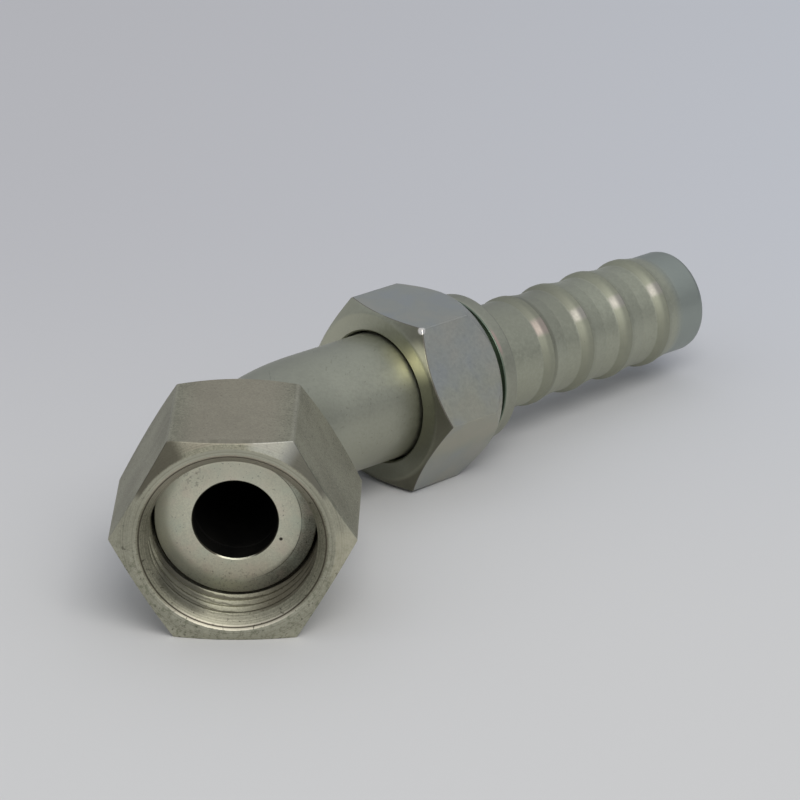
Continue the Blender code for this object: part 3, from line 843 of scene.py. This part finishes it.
# %% [markdown]
# The tube is drawn through a die, so it is smooth, with faint scratches along it. The scratches could
# be a bump, but they are too fine to have a depth. They are noise that is squeezed across the tube
# and stretched along it. A painted yellow reflection lies where the tube goes into the hexagon.

# %% Zinc of the tube
SCRATCHES_ACROSS, SCRATCHES_ALONG, SCRATCH_TURN = 2600.0, 260.0, math.radians(24)
TUBE_PAINTED_REFLECTION = (-2.79, -1.54, 17.57)

tube_paint = Zinc("tube_zinc", (0.370, 0.372, 0.298), (0.414, 0.417, 0.336), grain=2600, pits=0.76)
stretched = tube_paint.node("ShaderNodeMapping", Vector=tube_paint.place,
                            Scale=(SCRATCHES_ACROSS, SCRATCHES_ALONG, SCRATCHES_ACROSS),
                            Rotation=(0.0, 0.0, SCRATCH_TURN))
scratches = tube_paint.rise(tube_paint.noise(1.0, vector=stretched), 0.66, 0.72)
tube_paint.coat(scratches * 0.3, (0.20, 0.20, 0.16))
# painted reflection: a yellow patch where the tube goes into the hexagon
tube_paint.coat(tube_paint.near(TUBE_PAINTED_REFLECTION, 0.5, 3.0) * 0.6, (0.62, 0.60, 0.41))
tube_paint.finish(tube, roughness=0.42, grain=0.08)

# %% [markdown]
# The insert is turned and smooth. Its groove has dark green painted shade, because little light
# reaches far into it. The flats of the hexagon are cool above and below and beige between, with soft
# patches, and painted shade dulls their upper corner edges. The flats could have a material each, but
# the tones run on over the edges between them, so they follow the height and a slow noise. In the
# insert's local frame y points down, and is called down here.

# %% Zinc of the insert: the groove and the hexagon's flats
insert_paint = Zinc("insert_zinc", (0.388, 0.393, 0.306), (0.448, 0.455, 0.358), grain=2600,
                    pits=0.745)
on_insert = Place(insert_paint, hex_frame)
radius, depth, down = on_insert.radius, on_insert.depth, on_insert.y

# painted shade: the groove is painted dark green
groove = insert_paint.band(depth, HEX_LENGTH + 0.02, GROOVE_END + 0.18, 0.06)
insert_paint.coat(groove * insert_paint.fall(radius, 9.1, 9.3) * 0.85, (0.12, 0.165, 0.125))
cone_depth = depth - (radius - HEX_LAND).high(0.0) * math.tan(HEX_SLOPE)
hex_face = insert_paint.fall(cone_depth, 0.08, 0.2)
flats = insert_paint.rise(radius, 10.2, 10.35) * insert_paint.fall(depth, 10.9, 11.0) * (1.0 - hex_face)
middle = insert_paint.rise(down, -7.0, -1.5) * insert_paint.fall(down, 3.0, 7.0)
insert_paint.coat(flats * (1.0 - 0.75 * middle) * 0.6, (0.395, 0.407, 0.41))
beige = insert_paint.rise(down, -5.0, -1.0) * insert_paint.fall(down, 3.0, 5.5)
insert_paint.coat(flats * beige * 0.4, (0.46, 0.435, 0.355))
patches = insert_paint.noise(210)
insert_paint.coat(flats * insert_paint.rise(patches, 0.48, 0.66) * 0.3, (0.355, 0.385, 0.43))
insert_paint.coat(flats * insert_paint.fall(patches, 0.34, 0.52) * 0.25, (0.50, 0.46, 0.38))
# painted shade on the upper corner edges of the flats
upper_corner_shade = insert_paint.rise(radius, 11.97, 12.05) * insert_paint.fall(down, -3.0, 0.0)
insert_paint.coat(flats * upper_corner_shade * 0.16, (0.22, 0.22, 0.21))
print("flats of the insert:", len(insert_paint.tree.nodes), "nodes so far")

# %% [markdown]
# The hexagon's front face has painted light on its left and painted shade on its right. A painted
# yellow reflection lies beside the tube, a small burr on the upper corner has a painted glint, and a
# thin line of painted shade follows the crease between the chamfer and the flats. The line could be a
# row of marked edges. Its depth under the chamfer's cone finds it too, at any fineness of the mesh.
# The collar's rim has a painted pinkish highlight.

# %% Zinc of the insert: the front face and the collar's rim
BURR_WITH_GLINT, FACE_PAINTED_REFLECTION = (-0.10, -2.17, 21.12), (-0.25, -3.70, 17.75)

# painted light on the left of the hexagon's front face
insert_paint.coat(hex_face * insert_paint.fall(on_insert.x, -9.0, 0.0) * 0.6, (0.58, 0.575, 0.45))
# painted shade on the right of the face and low down
right_side = 0.05 + 0.95 * insert_paint.rise(on_insert.x, -1.0, 9.0)
shade = right_side.high(insert_paint.rise(down, 4.0, 9.0))
insert_paint.coat(hex_face * shade * 0.45, (0.12, 0.115, 0.078))
# painted shade on the right of the chamfer's cone
dark_cone = insert_paint.rise(radius, 10.0, 10.6) * insert_paint.rise(on_insert.x, -4.0, 7.0)
more_below = 0.62 + 0.2 * insert_paint.rise(down, 3.0, 8.0)
insert_paint.coat(hex_face * dark_cone * more_below, (0.10, 0.095, 0.068))
# a painted glint on the burr, whose roughness is lowered too
burr_glint = insert_paint.near(BURR_WITH_GLINT, 0.35, 0.6)
insert_paint.coat(burr_glint * 0.95, (0.95, 0.90, 0.83))
# painted reflection: a yellow patch beside the tube
painted_gleam = insert_paint.near(FACE_PAINTED_REFLECTION, 0.4, 3.2) * insert_paint.fall(radius, 10.9, 11.6)
insert_paint.coat(hex_face * painted_gleam * 0.9, (0.80, 0.775, 0.54))
crease = insert_paint.rise(radius, 10.45, 10.55) * insert_paint.rise(cone_depth, 0.004, 0.02) * \
    insert_paint.fall(cone_depth, 0.10, 0.18)
# painted shade along the crease between the chamfer and the flats
insert_paint.coat(crease * (1.0 - burr_glint) * 0.85, (0.17, 0.15, 0.135))
# a painted pinkish highlight on the collar's rim
rim = insert_paint.band(depth, 12.98, 13.4, 0.08) * insert_paint.rise(radius, 8.9, 9.05)
insert_paint.coat(rim * insert_paint.rise(on_insert.facing(318), 0.975, 0.998) * 0.8, (0.60, 0.44, 0.38))
print("front face of the insert:", len(insert_paint.tree.nodes), "nodes so far")

# %% [markdown]
# Only the crests of the barbs touch anything, and a small spot on each is rubbed smooth and shines,
# with a painted highlight tint. The rest of a crest is duller, with painted shade, and a ring of painted
# shade lies behind it. On the first barb the spot has a painted pinkish highlight. Roughness makes the
# difference between a spot that shines and one that is only painted light, so the same masks that lay
# the colour also feed the roughness.

# %% Zinc of the insert: the barbs
RUBBED_HIGHLIGHT_AT = 313
BARB_SHINE_AND_SHADE = [
    # the cosines where the spot starts and is full, its shine, the strength of the painted shade ring
    # behind
    (0.978, 0.9985, 0.75, 0.50),
    (0.986, 0.9993, 0.56, 0.15),
    (0.986, 0.9993, 0.44, 0.15),
    (0.986, 0.9993, 0.42, 0.15),
]

to_spot = on_insert.facing(RUBBED_HIGHLIGHT_AT)
dull_shaded_crests, rubbed_spot_highlights, shade_rings_behind = 0.0, 0.0, 0.0
for crest, (starts, full, shine, ring) in zip(crests, BARB_SHINE_AND_SHADE):
    on_crest = insert_paint.band(depth, crest - BARB_FRONT, crest + 1.0, 0.15)
    spot = insert_paint.rise(to_spot, starts, full)
    dull_shaded_crests = dull_shaded_crests + on_crest * (1.0 - spot * shine)
    rubbed_spot_highlights = rubbed_spot_highlights + on_crest * spot
    shade_rings_behind = shade_rings_behind + insert_paint.band(depth, crest + 0.9, crest + 1.5, 0.2) * ring
first_barb = insert_paint.fall(depth, 25.0, 27.0)
# painted highlight tints on the spots, pinkish on the first barb
insert_paint.coat(rubbed_spot_highlights * 0.6, (0.46, 0.412, 0.39))
insert_paint.coat(rubbed_spot_highlights * first_barb * 0.6, (0.56, 0.43, 0.37))
# painted shade on the rest of the crests and in rings behind them
insert_paint.coat(dull_shaded_crests * 0.35, (0.20, 0.20, 0.155))
insert_paint.coat(shade_rings_behind, (0.17, 0.17, 0.125))
print("barbs of the insert:", len(insert_paint.tree.nodes), "nodes so far")

# %% [markdown]
# Three broad tones remain: painted shade darkens the top of the neck and the first barb, and the
# collar all round with the neck just behind it, and the nose is painted a cooler grey, as a painted
# reflection. They could be part of the base. As the last coats they lie over the finer marks and tone
# them too. The roughness is then raised on the crests and on the crease, and lowered on the burr.

# %% Zinc of the insert: broad tones and roughness
# painted shade on top of the neck and the first barb
neck_top_shade = insert_paint.band(depth, 16.0, 29.5, 0.8) * insert_paint.fall(down, -5.5, -2.5)
insert_paint.coat(neck_top_shade * 0.32, (0.21, 0.205, 0.165))
# painted shade on the collar and the neck just behind it
insert_paint.coat(insert_paint.band(depth, 13.2, 16.2, 0.5) * 0.35, (0.22, 0.215, 0.19))
# painted reflection: the nose is painted a cooler grey
insert_paint.coat(insert_paint.rise(depth, 44.9, 47.0) * 0.8, (0.335, 0.37, 0.345))
rougher = dull_shaded_crests * 0.22 + crease * 0.25 - burr_glint * 0.25
insert_paint.finish(insert, roughness=0.42, grain=0.14, rougher=rougher)

# %% [markdown]
# Little light goes far into a narrow bore, so its wall is painted nearly black, as painted shade. A
# piece could be cut in two to give its bore another finish. A second material on the faces of the bore
# keeps it one piece, and the sleeve, the tube and the insert share it.

# %% Dark wall of the bore
bore_paint = Paint("dark_bore")
# painted shade: the bore's wall is painted nearly black
bore_shade_mottle = bore_paint.rise(bore_paint.noise(400, 3, 0.6), 0.3, 0.7)
bore_paint.feed("Base Color", bore_paint.mix(bore_shade_mottle, (0.003, 0.003, 0.0025), (0.007, 0.0065, 0.0055)))
bore_paint.shader.inputs["Roughness"].default_value = 0.8
bore_paint.shader.inputs["Specular IOR Level"].default_value = 0.1
for piece in (sleeve, tube, insert):
    piece.data.materials.append(bore_paint.material)
    print(piece.name, "materials:", [material.name for material in piece.data.materials])

# %% [markdown]
# The view transform could be one that rolls off bright colours, as films do. Standard shows a colour
# as it is written, which is what a comparison with the photo needs.

bpy.context.scene.view_settings.view_transform = "Standard"

# %% [markdown]
# Every piece rides on a body, because ring_piece attached it there, so the part turns with its joint.
